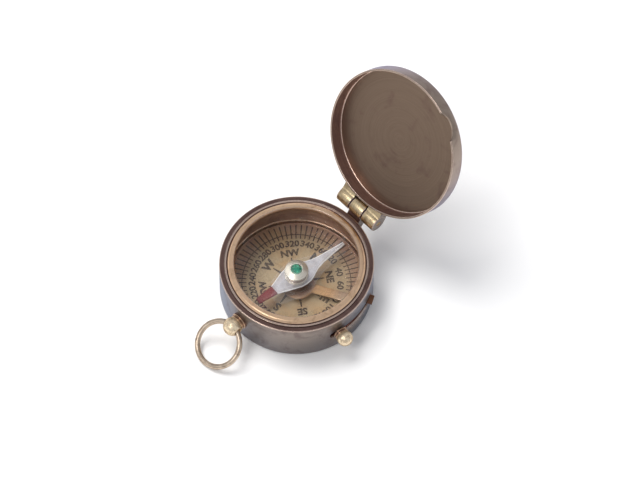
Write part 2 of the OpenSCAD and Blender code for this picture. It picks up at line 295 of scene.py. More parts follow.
def turned_metal(name, colour, stain, rough, place=None, marks=26.0, stained=0.5, relief=0.12, tint=None,
                 zones=(), clouds=0.16, metal=1.0):
    """Metal turned round a place's +Z axis, stained and pitted. Zones are colours from radii outwards."""
    material, tree, shader = new_material(name)
    where = add(tree, "ShaderNodeTexCoord").outputs["Object"]
    if place:
        where = add(tree, "ShaderNodeMapping", {
            "Vector": where, "Location": place.translation, "Rotation": place.to_euler()},
            vector_type="TEXTURE")
    where = add(tree, "ShaderNodeVectorMath", {0: where, "Scale": 1 / MM}, operation="SCALE")
    axes = add(tree, "ShaderNodeSeparateXYZ", {"Vector": where})
    flat = add(tree, "ShaderNodeCombineXYZ", {"X": axes.outputs["X"], "Y": axes.outputs["Y"]})
    radius = add(tree, "ShaderNodeVectorMath", {0: flat}, operation="LENGTH")
    spoke = add(tree, "ShaderNodeVectorMath", {0: flat}, operation="NORMALIZE")
    spoke = add(tree, "ShaderNodeVectorMath", {0: spoke, "Scale": 1.6}, operation="SCALE")
    level = add(tree, "ShaderNodeMath", {0: axes.outputs["Z"], 1: marks}, operation="MULTIPLY")
    level = add(tree, "ShaderNodeCombineXYZ", {"Z": level})
    along = add(tree, "ShaderNodeVectorMath", {0: spoke, 1: level}, operation="ADD")
    across = add(tree, "ShaderNodeMath", {0: radius, 1: marks}, operation="MULTIPLY")
    lines = add(tree, "ShaderNodeTexNoise", {
        "Vector": along, "W": across, "Scale": 0.5, "Detail": 3.0, "Roughness": 0.65}, noise_dimensions="4D")
    cloud = mottle(tree, where, clouds, 5.0, 0.62, 0.6)
    specks = mottle(tree, where, 2.6, 3.0, 0.7)
    patches = add(tree, "ShaderNodeMath", {
        0: ramp(tree, cloud, 0.66 - stained * 0.36, 0.74, high=0.9),
        1: ramp(tree, specks, 0.60, 0.74, high=0.55)}, operation="MAXIMUM")
    base = blend(tree, patches, colour, stain)
    for start, end, zone in zones:
        base = blend(tree, ramp(tree, radius, start, end), base, zone)
    streaks = ramp(tree, lines, 0.3, 0.7, 0.82, 1.16)
    base = add(tree, "ShaderNodeVectorMath", {0: base, "Scale": streaks}, operation="SCALE")
    sheen = scaled(tree, patches, 0.14, scaled(tree, lines, 0.22, rough - 0.11))
    height = scaled(tree, specks, 0.5, lines)
    dents = add(tree, "ShaderNodeBump", {"Height": height, "Strength": relief, "Distance": 0.00005})
    feed(shader, {"Base Color": base, "Roughness": sheen, "Normal": dents, "Metallic": metal})
    if tint:
        feed(shader, {"Specular Tint": (*tint, 1)})
    return material


# The case's bluish edge tint is a painted reflection that blues the wall where it turns away at the sides.
case_brown = turned_metal(
    "aged_case_brass", (0.30, 0.245, 0.20), (0.17, 0.115, 0.10), 0.36, tint=(0.62, 0.76, 1.0))
# Edges rubbed bright and also painted paler, as highlight lines along every eased and rounded edge.
rubbed_and_highlit_edge = turned_metal("rubbed_and_highlit_edges", (0.68, 0.52, 0.43), (0.44, 0.30, 0.24), 0.26, stained=0.3)
# Plum patina that also stands in for shade: patina with painted shade on the case's shoulder and in the
# bezel's groove, painted shade on the lever's sides and on the case knuckle's web.
plum_shade_and_patina = turned_metal("plum_shade_and_patina", (0.205, 0.125, 0.105), (0.12, 0.068, 0.062), 0.38)
bore_brown = turned_metal("bore_brown", (0.50, 0.38, 0.34), (0.30, 0.20, 0.18), 0.42)
# The slot's floor is dark red-brown, painted shade inside the slot, with a pale band from 24.4 to 24.6 mm
# painted as a highlight along its outer lip.
slot_face = turned_metal(
    "slot_face", (0.22, 0.09, 0.07), (0.12, 0.05, 0.04), 0.36, zones=((24.4, 24.6, (0.90, 0.76, 0.68)),))

case_outline = rounded([
    (0, 0, 0), (CASE_R, 0, 0.75), (CASE_R, CASE_H, 0.3), (BORE_R, CASE_H, 0.1), (BORE_R, FLOOR_T, 0.2),
    (0, FLOOR_T, 0)])
case_outline = [(r, z, bright_edge and z > RIM_FROM) for r, z, bright_edge in case_outline]
SLOT_Z = 8.0
SLOT_HALF = 1.5
SLOT_ENDS = (-18.0, 31.0)
END_STEPS = 12
SIDE_STEPS = 60


def slot_cutter(inner, outer):
    """A block that follows the wall between the slot's two angles and is rounded at both ends."""
    end_turn = math.degrees(SLOT_HALF / CASE_R)
    rounding = [math.pi / 2 * k / END_STEPS for k in range(END_STEPS + 1)]
    first, last = SLOT_ENDS[0] + end_turn, SLOT_ENDS[1] - end_turn
    stations = [(SLOT_ENDS[0] + end_turn * (1 - math.cos(t)), SLOT_HALF * math.sin(t)) for t in rounding]
    stations += [(first + (last - first) * k / SIDE_STEPS, SLOT_HALF) for k in range(1, SIDE_STEPS)]
    stations += [(SLOT_ENDS[1] - end_turn * (1 - math.sin(t)), SLOT_HALF * math.cos(t)) for t in rounding]
    bm = bmesh.new()
    loops = []
    for turn, half in stations:
        c, s = math.cos(math.radians(turn)) * MM, math.sin(math.radians(turn)) * MM
        loops.append([
            bm.verts.new((r * c, r * s, (SLOT_Z + z) * MM))
            for r, z in ((inner, -half), (outer, -half), (outer, half), (inner, half))
        ])
    for here, following in zip(loops, loops[1:]):
        for k in range(4):
            bm.faces.new((here[k], here[(k + 1) % 4], following[(k + 1) % 4], following[k]))
    bmesh.ops.remove_doubles(bm, verts=bm.verts, dist=1e-7)
    bmesh.ops.recalc_face_normals(bm, faces=bm.faces)
    return shaped(bm)


def outward(turn, height):
    """The place on the case's axis at a height in mm whose +Z points outwards at an angle."""
    return moved(0, 0, height) @ spun(turn, "Z") @ spun(90, "Y")


BOW_Z = 8.8
TENON_R = 1.2
tenon_hole = cylinder(TENON_R, 22, 27, 48, outward(-90, BOW_Z))
case_mesh = combined(
    turned(case_outline, 256), [slot_cutter(BORE_R - 0.7, CASE_R + 0.9), tenon_hole],
    (case_brown, rubbed_and_highlit_edge, plum_shade_and_patina, bore_brown, slot_face), ease=0.09, angle=60)
CASE_PLUM, CASE_BORE, CASE_SLOT = 2, 3, 4
# Inside the wall the shoulder takes the plum, patina with painted shade, and the slot's floor takes the slot
# colour, painted shade with a painted lip highlight. The rest of the bore is bore brown.
for face in case_mesh.polygons:
    radius = math.hypot(face.center.x, face.center.y) / MM
    height = face.center.z / MM
    if face.material_index == 0 and radius < CASE_R - 0.32:
        if face.normal.z > 0.9 and height > FLOOR_T + 1:
            face.material_index = CASE_PLUM if height > RIM_FROM else CASE_SLOT
        elif face.normal.z > -0.5:
            face.material_index = CASE_BORE
finished("case", case_mesh, "case", ["case_shell"], ())

# ------------------------------------------------------------------ dial
# The dial is a brass disc, lacquered tan, with its scale printed in dark ink: a tick every five
# degrees, figures every twenty and the eight points. A round-topped ring presses it to the floor.
DIAL_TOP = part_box("dial_plate")[1].z / MM
DIAL_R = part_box("dial_plate")[1].x / MM
PIVOT_HOLE_R = 0.8
NORTH = 102.2
INK = 0.025


def dial_face():
    """Tan lacquer, redder under the scale, with fine scratches, grime and a soft sheen."""
    material, tree, shader = new_material("dial_lacquer")
    where = add(tree, "ShaderNodeTexCoord").outputs["Object"]
    where = add(tree, "ShaderNodeVectorMath", {0: where, "Scale": 1 / MM}, operation="SCALE")
    flat = add(tree, "ShaderNodeVectorMath", {0: where, 1: (1, 1, 0)}, operation="MULTIPLY")
    radius = add(tree, "ShaderNodeVectorMath", {0: flat}, operation="LENGTH")
    cloud = mottle(tree, where, 0.2, 6.0, 0.6)
    fine = mottle(tree, where, 5.0, 4.0, 0.7)
    warm = mottle(tree, where, 0.11, 3.0, distortion=0.8)
    under_scale = ramp(tree, scaled(tree, cloud, 2.4, radius), 17.0, 20.0)
    base = blend(tree, under_scale, (0.46, 0.345, 0.215), (0.43, 0.245, 0.175))
    base = blend(tree, ramp(tree, cloud, 0.35, 0.65, high=0.55), base, (0.58, 0.45, 0.28))
    base = blend(tree, ramp(tree, warm, 0.48, 0.64, high=0.6), base, (0.52, 0.33, 0.17))
    grime = ramp(tree, fine, 0.5, 0.75, 1.0, 0.8)
    base = add(tree, "ShaderNodeVectorMath", {0: base, "Scale": grime}, operation="SCALE")
    dents = add(tree, "ShaderNodeBump", {"Height": fine, "Strength": 0.1, "Distance": 0.00003})
    feed(shader, {"Base Color": base, "Roughness": ramp(tree, fine, 0.0, 1.0, 0.32, 0.55), "Normal": dents,
                  "Metallic": 0.35})
    return material


def ink(name, colour):
    """Printing ink that is thin in places."""
    material, tree, shader = new_material(name)
    patchy = mottle(tree, add(tree, "ShaderNodeTexCoord").outputs["Object"], 2600.0, 4.0, 0.6)
    thin = tuple(part * 2.6 + 0.02 for part in colour)
    feed(shader, {"Base Color": blend(tree, ramp(tree, patchy, 0.42, 0.75), colour, thin),
                  "Roughness": ramp(tree, patchy, 0.0, 1.0, 0.4, 0.7)})
    return material


# The dial's rounded outer edge is painted pale, as a highlight along it.
dial_rim_highlight = turned_metal("dial_rim_highlight", (0.95, 0.72, 0.60), (0.60, 0.38, 0.30), 0.28, stained=0.3)
dial = rounded([
    (PIVOT_HOLE_R, FLOOR_T, 0), (DIAL_R, FLOOR_T, 0), (DIAL_R, DIAL_TOP, 0.3),
    (PIVOT_HOLE_R, DIAL_TOP, 0)], 4)
finished("dial", turned(dial, 240), "case", ["dial_plate"], [dial_face(), dial_rim_highlight])
scale_ink = ink("scale_ink", (0.022, 0.014, 0.014))


def spoke_tree():
    """Marks of one shape round a circle, each a flat bar that may be wider at one end."""
    tree = bpy.data.node_groups.new("marks_round_dial", "GeometryNodeTree")
    floats = ("Inner Radius", "Length", "Inner Width", "Outer Width", "Thickness", "Height", "Start")
    for name, kind in (("Count", "Int"), *[(name, "Float") for name in floats], ("Material", "Material")):
        tree.interface.new_socket(name, in_out="INPUT", socket_type="NodeSocket" + kind)
    tree.interface.new_socket("Geometry", in_out="OUTPUT", socket_type="NodeSocketGeometry")
    given = tree.nodes.new("NodeGroupInput").outputs
    bar = add(tree, "GeometryNodeCurvePrimitiveQuadrilateral", {
        "Height": given["Length"], "Bottom Width": given["Inner Width"], "Top Width": given["Outer Width"],
        "Offset": 0.0}, mode="TRAPEZOID")
    filled = add(tree, "GeometryNodeFillCurve", {"Curve": bar})
    raised = add(tree, "GeometryNodeExtrudeMesh", {
        "Mesh": filled, "Offset Scale": given["Thickness"], "Individual": False})
    solid = add(tree, "GeometryNodeJoinGeometry", {"Geometry": raised})
    feed(solid, {"Geometry": add(tree, "GeometryNodeFlipFaces", {"Mesh": filled})})
    solid = add(tree, "GeometryNodeMergeByDistance", {"Geometry": solid, "Distance": 1e-6})
    half = scaled(tree, given["Length"], 0.5, given["Inner Radius"])
    circle = add(tree, "GeometryNodeMeshCircle", {"Vertices": given["Count"], "Radius": half})
    step = add(tree, "ShaderNodeMath", {0: 2 * math.pi, 1: given["Count"]}, operation="DIVIDE")
    turn = scaled(tree, add(tree, "GeometryNodeInputIndex"), step, -math.pi / 2)
    facing, start, lift = [
        add(tree, "ShaderNodeCombineXYZ", {"Z": value}) for value in (turn, given["Start"], given["Height"])]
    placed = add(tree, "GeometryNodeInstanceOnPoints", {
        "Points": circle, "Instance": solid, "Rotation": facing})
    whole = add(tree, "GeometryNodeTransform", {"Geometry": placed, "Rotation": start, "Translation": lift})
    real = add(tree, "GeometryNodeRealizeInstances", {"Geometry": whole})
    inked = add(tree, "GeometryNodeSetMaterial", {"Geometry": real, "Material": given["Material"]})
    add(tree, "NodeGroupOutput", {"Geometry": inked})
    return tree


marks_tree = spoke_tree()


def marks(name, count, inner, outer, inner_width, outer_width, start):
    """A ring of printed marks, sizes in mm, the first at an angle, as a plain mesh."""
    holder = bpy.data.objects.new("holder", bpy.data.meshes.new("holder"))
    bpy.context.scene.collection.objects.link(holder)
    step = holder.modifiers.new("marks", "NODES")
    step.node_group = marks_tree
    sizes = {"Count": count, "Inner Radius": inner * MM, "Length": (outer - inner) * MM,
             "Inner Width": inner_width * MM, "Outer Width": outer_width * MM, "Thickness": INK * MM,
             "Height": DIAL_TOP * MM, "Start": math.radians(start), "Material": scale_ink}
    for socket in marks_tree.interface.items_tree:
        if socket.in_out == "INPUT":
            step[socket.identifier] = sizes[socket.name]
    mesh = bpy.data.meshes.new_from_object(holder.evaluated_get(bpy.context.evaluated_depsgraph_get()))
    bpy.data.objects.remove(holder)
    return finished(name, mesh, "case", [], [scale_ink])


# How many, from and to which radius, and how wide at each end
marks("degree_ticks", 72, 16.25, 21.3, 0.36, 0.44, NORTH)
marks("point_marks", 8, 5.4, 9.2, 0.95, 0.35, NORTH)
marks("point_mark_feet", 8, 5.2, 5.6, 1.6, 0.95, NORTH)
line = cylinder(17.9, DIAL_TOP, DIAL_TOP + INK, 240, inner=17.6)
finished("scale_circle", line, "case", [], [scale_ink])


TEXT_HALF = 0.01


def lettering(name, words, radius, height, weight, squeeze):
    """Words printed round the dial with their tops outwards, each at its angle, as one mesh.

    The weight thickens the strokes, and the squeeze makes the letters narrower or wider.
    """
    bm = bmesh.new()
    for word, turn in words:
        text = bpy.data.curves.new("word", "FONT")
        text.body = word
        text.align_x = "CENTER"
        text.resolution_u = 3
        text.offset = weight
        text.extrude = TEXT_HALF
        holder = bpy.data.objects.new("word", text)
        bpy.context.scene.collection.objects.link(holder)
        mesh = bpy.data.meshes.new_from_object(holder.evaluated_get(bpy.context.evaluated_depsgraph_get()))
        bpy.data.objects.remove(holder)
        low = min(v.co.y for v in mesh.vertices)
        high = max(v.co.y for v in mesh.vertices)
        middle = (min(v.co.x for v in mesh.vertices) + max(v.co.x for v in mesh.vertices)) / 2
        size = height * MM / (high - low)
        shift = Matrix.Translation((-middle, -(low + high) / 2, TEXT_HALF))
        fit = Matrix.Diagonal((size * squeeze, size, INK * MM / (2 * TEXT_HALF), 1))
        there = spun(turn - 90, "Z") @ moved(0, radius, DIAL_TOP)
        mesh.transform(there @ fit @ shift)
        bm.from_mesh(mesh)
        bpy.data.meshes.remove(mesh)
    bmesh.ops.remove_doubles(bm, verts=bm.verts, dist=1e-7)
    for face in bm.faces:
        face.material_index = 0
    finished(name, shaped(bm), "case", [], [scale_ink])


POINTS_R = 11.0
figures = [(str(v), NORTH - v) for v in range(20, 361, 20)]
main_points = [(word, NORTH - 90 * k) for k, word in enumerate("NESW")]
half_points = [(word, NORTH - 45 - 90 * k) for k, word in enumerate(("NE", "SE", "SW", "NW"))]
lettering("figures", figures, 14.4, 2.35, 0.036, 1.03)
lettering("main_points", main_points, POINTS_R, 3.05, 0.05, 1.02)
lettering("half_points", half_points, POINTS_R, 2.55, 0.05, 1.04)


def repaint(node, material):
    """Gives a CAD node that stays as it is a material."""
    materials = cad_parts[node].data.materials
    materials.clear()
    materials.append(material)


bright_brass = turned_metal("turned_brass", (0.86, 0.64, 0.45), (0.50, 0.32, 0.20), 0.26, stained=0.4)
for node in ("dial_ring", "seat_ring", "pivot_post"):
    repaint(node, bright_brass)

# ------------------------------------------------------------------ pivot
# A hard steel point is pressed into a small brass post at the middle of the dial. Both stay as the
# CAD gives them, since the hub hides them.
point_steel = turned_metal(
    "hard_point_steel", (0.70, 0.70, 0.72), (0.45, 0.42, 0.42), 0.2, marks=60.0, stained=0.2)
repaint("pivot_point", point_steel)

# ------------------------------------------------------------------ lifting lever
# A strip of springy copper alloy: a round disc under the needle, an arm along the dial, a bend up
# the wall and a tongue out through the slot.
LEVER_TURN = 29.4
LEVER_Z = 4.4
LEVER_T = 0.5
TONGUE_Z = 7.75
RISER_X = 20.4
TONGUE_X = 26.4
ARM = (-3.15, 0.15)
ARM_FROM = 2
DISC_R = 5.4
DISC_CENTRE = (1, -1.5)
LEVER_HOLE_R = 1.3


def prism(loops):
    """A solid between two flat loops of points in mm that match one to one."""
    bm = bmesh.new()
    near, far = [[bm.verts.new([part * MM for part in point]) for point in loop] for loop in loops]
    bm.faces.new(near)
    bm.faces.new(far[::-1])
    for k in range(len(near)):
        following = (k + 1) % len(near)
        bm.faces.new((near[k], far[k], far[following], near[following]))
    bmesh.ops.recalc_face_normals(bm, faces=bm.faces)
    return shaped(bm)


lever_side = rounded([
    (ARM_FROM, LEVER_Z, 0), (RISER_X + LEVER_T, LEVER_Z, 0.7), (RISER_X + LEVER_T, TONGUE_Z, 0.2),
    (TONGUE_X, TONGUE_Z, 0), (TONGUE_X, TONGUE_Z + LEVER_T, 0), (RISER_X, TONGUE_Z + LEVER_T, 0.6),
    (RISER_X, LEVER_Z + LEVER_T, 0.2), (ARM_FROM, LEVER_Z + LEVER_T, 0)])
lever_strip = prism([[(x, y, z) for x, z, _ in lever_side] for y in ARM])
# The copper is painted brighter orange from 5.2 to 7.6 mm as a highlight, and is darker brown from 12 to 15.6
# mm. From 22.6 to 23.4 mm, where the tongue and the lock band lie inside the wall, it and its edge colour are
# painted dark as shade. The pale edge colour itself is painted as highlight lines.
copper = turned_metal(
    "brushed_copper", (0.31, 0.165, 0.115), (0.24, 0.12, 0.09), 0.32, marks=14.0, stained=0.35,
    zones=((5.2, 7.6, (0.57, 0.34, 0.18)), (12.0, 15.6, (0.40, 0.28, 0.20)),
           (22.6, 23.4, (0.20, 0.10, 0.06))))
copper_edge = turned_metal(
    "copper_edge", (0.95, 0.74, 0.52), (0.7, 0.45, 0.28), 0.22, stained=0.2,
    zones=((22.6, 23.4, (0.30, 0.15, 0.09)),))
disc = cylinder(DISC_R, LEVER_Z, LEVER_Z + LEVER_T, 128, moved(*DISC_CENTRE, 0))
whole_strip = combined(disc, [lever_strip], (copper, copper_edge), join=True)
whole_strip.materials.clear()
lever_hole = cylinder(LEVER_HOLE_R, 3, 6, 64)
lever_mesh = combined(whole_strip, [lever_hole], (copper, copper_edge, plum_shade_and_patina), ease=0.09, angle=60)
# The strip's upright sides are painted dark, as shade below its edges.
LEVER_SIDE_SHADE = 2
for face in lever_mesh.polygons:
    if face.material_index == 0 and abs(face.normal.z) < 0.3 and face.center.x / MM < RISER_X:
        face.material_index = LEVER_SIDE_SHADE
lever_mesh.transform(spun(LEVER_TURN, "Z"))
finished("lever", lever_mesh, "lifter", ["lifter_lever"], ())

# ------------------------------------------------------------------ lock band and knob
# A curved copper band slides round inside the wall. A brass ball on a stepped collar is riveted
# to it through the slot, and moving the knob pushes the band's slope under the lever.


def softened(node, ease, materials):
    """A copy of a CAD node's mesh with its flat faces whole again and its edges eased by so many mm."""
    bm = bmesh.new()
    bm.from_mesh(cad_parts[node].data)
    bmesh.ops.remove_doubles(bm, verts=bm.verts, dist=2e-7)
    bmesh.ops.dissolve_limit(bm, angle_limit=math.radians(0.8), verts=bm.verts, edges=bm.edges)
    for face in bm.faces:
        face.material_index = 0
    return combined(shaped(bm), [], materials, ease=ease, angle=35)


# The whole band lies in the copper's dark zone, painted shade inside the wall.
band_mesh = softened("lock_band", 0.08, (copper, copper_edge))
finished("lock_band", band_mesh, "lock", ["lock_band"], ())

KNOB_TURN = -9.4
BALL_R = 2.6
KNOB_BALL = 27.9
BAND_IN = 22.6
COLLAR_FROM = CASE_R + 0.12
COLLAR_STEP = 0.42
COLLAR_TOP = COLLAR_FROM + 3 * COLLAR_STEP
DENT = 0.14
BALL_STEPS = 28
knob_place = outward(KNOB_TURN, SLOT_Z)


def pitted(mesh, centre, ball):
    """Dents a ball's surface here and there, as cast and knocked brass is."""
    for vertex in mesh.vertices:
        spoke = vertex.co / MM - centre
        if abs(spoke.length - ball) < 0.01:
            dent = noise.noise(spoke * 1.3) * 0.6 + noise.noise(spoke * 3.1) * 0.4
            vertex.co -= spoke.normalized() * max(dent, 0) * DENT * MM
    return mesh


def pitted_brass(name, place):
    """Cast and turned brass, rubbed to gold, with brown in its hollows; its dark edge tint is painted shade
    along its rims.
    """
    return turned_metal(
        name, (1.0, 0.83, 0.59), (0.32, 0.20, 0.11), 0.36, place, marks=5.0, stained=0.62, relief=1.0,
        tint=(0.12, 0.08, 0.06), clouds=0.85, metal=0.84)


def ball_outline(ball, centre, stem_r, inner):
    """The outline of a stem and the ball on its end, cut flat where it meets its collar."""
    start = math.acos((COLLAR_TOP - centre) / ball)
    arc = [start * (1 - k / BALL_STEPS) for k in range(BALL_STEPS)]
    arc = [(ball * math.sin(a), centre + ball * math.cos(a), 0) for a in arc]
    return [(0, inner, 0), (stem_r, inner, 0), (stem_r, COLLAR_TOP, 0)] + arc + [(0, centre + ball, 0)]


def collar_outline(radii, hole):
    """The outline of a collar of three rounded steps."""
    corners = [(hole, COLLAR_FROM, 0)]
    for k, radius in enumerate(radii):
        corners.append((radius, COLLAR_FROM + k * COLLAR_STEP, 0.05))
        corners.append((radius, COLLAR_FROM + (k + 1) * COLLAR_STEP, 0.14))
    return rounded(corners + [(hole, COLLAR_TOP, 0)], 3)


def dented_ball(ball, centre, stem_r, inner, place):
    """A dented ball on a stem that stands outwards from the wall."""
    return pitted(turned(ball_outline(ball, centre, stem_r, inner), 96, place),
                  place @ Vector((0, 0, centre * MM)) / MM, ball)


knob_brass = pitted_brass("knob_brass", knob_place)
collar_bronze = turned_metal(
    "collar_bronze", (0.30, 0.16, 0.12), (0.10, 0.05, 0.045), 0.3, knob_place, stained=0.5)
collar_edge = turned_metal(
    "collar_edge", (0.68, 0.48, 0.32), (0.30, 0.17, 0.11), 0.28, knob_place, clouds=0.8, stained=0.6)
knob_mesh = dented_ball(BALL_R, KNOB_BALL, 1.0, BAND_IN, knob_place)
finished("lock_knob", knob_mesh, "lock", ["lock_knob"], [knob_brass])
collar_mesh = turned(collar_outline((2.35, 2.05, 2.3), 1.0), 96, knob_place)
finished("knob_collar", collar_mesh, "lock", ["knob_collar"], [collar_bronze, collar_edge])

# ------------------------------------------------------------------ needle
# The blade is sheet steel, ground along both edges, and its south end is painted red. It turns
# freely on the point, and the hub in the next section rides on it.
NEEDLE_TURN = 84.4
SLEEVE_R = 1.9
NEEDLE_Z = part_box("needle_blade")[0].z / MM
NEEDLE_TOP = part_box("needle_blade")[1].z / MM
RED_FROM = -9
# How far along the blade, and how wide it is there to its left and to its right
BLADE = [(19.4, 0.5, 0.5), (14, 0.95, 1.1), (10, 1.25, 1.65), (7.5, 1.65, 2.25), (5.6, 2.25, 3.1),
         (4, 3, 4), (2.6, 3.65, 4.5), (0.8, 4.1, 4.72), (-1, 4.2, 4.6), (-3.5, 3.75, 3.75),
         (-9, 1.75, 1.75), (-15.8, 1.05, 1.05)]
GROUND = 0.32
EDGE_TOP = NEEDLE_TOP - 0.2
BLADE_GROUND, BLADE_RED = 1, 2
BLADE_SHARP = 12


def blade_shape():
    """The blade in cross strips: a flat back, upright sides, ground slopes and a flat face."""
    bm = bmesh.new()
    rows = []
    for k, (x, left, right) in enumerate(BLADE):
        step = {0: -GROUND, len(BLADE) - 1: GROUND}.get(k, 0)
        rows.append([bm.verts.new((a * MM, b * MM, z * MM)) for a, b, z in (
            (x, -right, NEEDLE_Z), (x, -right, EDGE_TOP), (x + step, GROUND - right, NEEDLE_TOP),
            (x + step, left - GROUND, NEEDLE_TOP), (x, left, EDGE_TOP), (x, left, NEEDLE_Z))])
    for (x, _, _), here, following in zip(BLADE, rows, rows[1:]):
        for k in range(6):
            face = bm.faces.new((here[k], here[(k + 1) % 6], following[(k + 1) % 6], following[k]))
            face.material_index = BLADE_RED if x <= RED_FROM else BLADE_GROUND if k in (1, 3) else 0
    for row, paint in ((rows[0], BLADE_GROUND), (rows[-1], BLADE_RED)):
        for corners in ((row[0], row[1], row[4], row[5]), (row[1], row[2], row[3], row[4])):
            bm.faces.new(corners).material_index = paint
    bmesh.ops.recalc_face_normals(bm, faces=bm.faces)
    return shaped(bm, sharp=BLADE_SHARP)


def blade_finish(name, colour, stain, rough, metal):
    """Sheet metal or paint with fine grinding marks along the blade, dull spots and wear."""
    material, tree, shader = new_material(name)
    where = add(tree, "ShaderNodeTexCoord").outputs["Object"]
    along = add(tree, "ShaderNodeMapping", {"Vector": where, "Rotation": (0, 0, -math.radians(NEEDLE_TURN))})
    stretched = add(tree, "ShaderNodeVectorMath", {0: along, 1: (220, 5200, 900)}, operation="MULTIPLY")
    lines = mottle(tree, stretched, 1.0, 3.0)
    spots = ramp(tree, mottle(tree, where, 420.0, 5.0, 0.65), 0.42, 0.72)
    dents = add(tree, "ShaderNodeBump", {"Height": lines, "Strength": 0.14, "Distance": 0.00003})
    feed(shader, {
        "Base Color": blend(tree, spots, colour, stain), "Normal": dents, "Metallic": metal,
        "Roughness": ramp(tree, lines, 0.3, 0.7, rough - 0.07, rough + 0.09)})
    return material


blade_steel = blade_finish("blade_steel", (0.64, 0.62, 0.65), (0.45, 0.42, 0.43), 0.42, 0.62)
# The ground edges are painted near white and hardly metallic, as highlight lines along the blade.
blade_highlight_edge = blade_finish("ground_highlight_edge", (1.0, 0.99, 0.98), (0.93, 0.91, 0.90), 0.3, 0.12)
blade_red = blade_finish("south_red", (0.21, 0.022, 0.04), (0.14, 0.02, 0.03), 0.4, 0.25)
sleeve_hole = cylinder(SLEEVE_R, 6, 10, 64)
blade_mesh = combined(blade_shape(), [sleeve_hole], (blade_steel, blade_highlight_edge, blade_red))
blade_mesh.set_sharp_from_angle(angle=math.radians(BLADE_SHARP))
blade_mesh.transform(spun(NEEDLE_TURN, "Z"))
finished("needle_blade", blade_mesh, "needle", ["needle_blade"], ())

# ------------------------------------------------------------------ hub and jewel
# A pale brass hub is pressed through the blade onto a flange: it carries the bearing cup below
# and a cut green stone on top. Its necks are painted dark as shade under the rim and the flange,
# and its rounded edges are painted paler as highlight lines.
HUB_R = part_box("needle_hub")[1].x / MM
HUB_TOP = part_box("needle_hub")[1].z / MM
NECK_R = 3.3
NECK_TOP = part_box("hub_collar")[1].z / MM
RIM_Z = 11.2
JEWEL_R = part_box("hub_jewel")[1].x / MM
JEWEL_SEAT = 11.4
CUP_R = 1.3
HUB_MARKS = 34.0
HUB_SHADE = 2
hub_gold = turned_metal(
    "hub_gold", (0.97, 0.90, 0.78), (0.78, 0.66, 0.52), 0.36, marks=HUB_MARKS, stained=0.25, relief=0.06)
hub_highlight_edge = turned_metal(
    "hub_highlight_edge", (1.0, 0.97, 0.90), (0.90, 0.80, 0.64), 0.22, marks=HUB_MARKS, stained=0.1)
hub_painted_shade = turned_metal("hub_painted_shade", (0.36, 0.26, 0.23), (0.20, 0.13, 0.12), 0.3, marks=HUB_MARKS)
hub_metals = [hub_gold, hub_highlight_edge, hub_painted_shade]
FLANGE_TOP = NEEDLE_TOP + 0.45
RIM_UNDER = RIM_Z - 0.45
collar = rounded([
    (SLEEVE_R, NEEDLE_TOP, 0), (HUB_R, NEEDLE_TOP, 0.1), (HUB_R, FLANGE_TOP, 0.14),
    (NECK_R, FLANGE_TOP, 0.12), (NECK_R, NECK_TOP, 0), (SLEEVE_R, NECK_TOP, 0)])
collar = [(r, z, HUB_SHADE if z > FLANGE_TOP + 0.05 else bright_edge) for r, z, bright_edge in collar]
finished("hub_collar", turned(collar, 128), "needle", ["hub_collar"], hub_metals)
SLEEVE_FROM = 5.8
CUP_TOP = 10
hub = rounded([
    (0, CUP_TOP, 0), (CUP_R + 0.05, CUP_TOP, 0), (CUP_R + 0.05, SLEEVE_FROM, 0), (SLEEVE_R, SLEEVE_FROM, 0.1),
    (SLEEVE_R, NECK_TOP, 0), (NECK_R, NECK_TOP, 0), (NECK_R, RIM_UNDER, 0), (HUB_R, RIM_UNDER, 0.12),
    (HUB_R, RIM_Z, 0.2), (JEWEL_R + 0.22, HUB_TOP, 0.08), (JEWEL_R, HUB_TOP, 0.04), (JEWEL_R, JEWEL_SEAT, 0),
    (0, JEWEL_SEAT, 0)])
hub = [(r, z, HUB_SHADE if r > SLEEVE_R and z < RIM_UNDER + 0.05 and not bright_edge else bright_edge)
       for r, z, bright_edge in hub]
finished("hub", turned(hub, 128), "needle", ["needle_hub"], hub_metals)
repaint("bearing_cup", bright_brass)


def cut_stone():
    """A round stone with a flat table, eight star and sixteen girdle facets."""
    bm = bmesh.new()
    girdle_r = JEWEL_R - 0.01
    rings = []
    # How wide and how high each ring is, how many corners it has and how far it is turned
    for radius, height, corners, shift in (
            (girdle_r, JEWEL_SEAT, 16, 0), (girdle_r, JEWEL_SEAT + 0.3, 16, 0),
            (JEWEL_R * 0.78, JEWEL_SEAT + 0.56, 8, 0.5), (JEWEL_R * 0.49, JEWEL_SEAT + 0.73, 8, 0)):
        turns = [2 * math.pi * (k + shift) / corners for k in range(corners)]
        rings.append([
            bm.verts.new((radius * MM * math.cos(a), radius * MM * math.sin(a), height * MM)) for a in turns])
    base, girdle, crown, table = rings
    bm.faces.new(base[::-1])
    bm.faces.new(table)
    for k in range(16):
        bm.faces.new((base[k], base[(k + 1) % 16], girdle[(k + 1) % 16], girdle[k]))
    for k in range(8):
        on = (k + 1) % 8
        here, half, there = girdle[2 * k], girdle[2 * k + 1], girdle[(2 * k + 2) % 16]
        for facet in ((here, half, crown[k]), (half, there, crown[k]), (there, crown[on], table[on]),
                      (there, table[on], crown[k]), (table[k], crown[k], table[on])):
            bm.faces.new(facet)
    bmesh.ops.recalc_face_normals(bm, faces=bm.faces)
    mesh = shaped(bm)
    mesh.shade_flat()
    return mesh


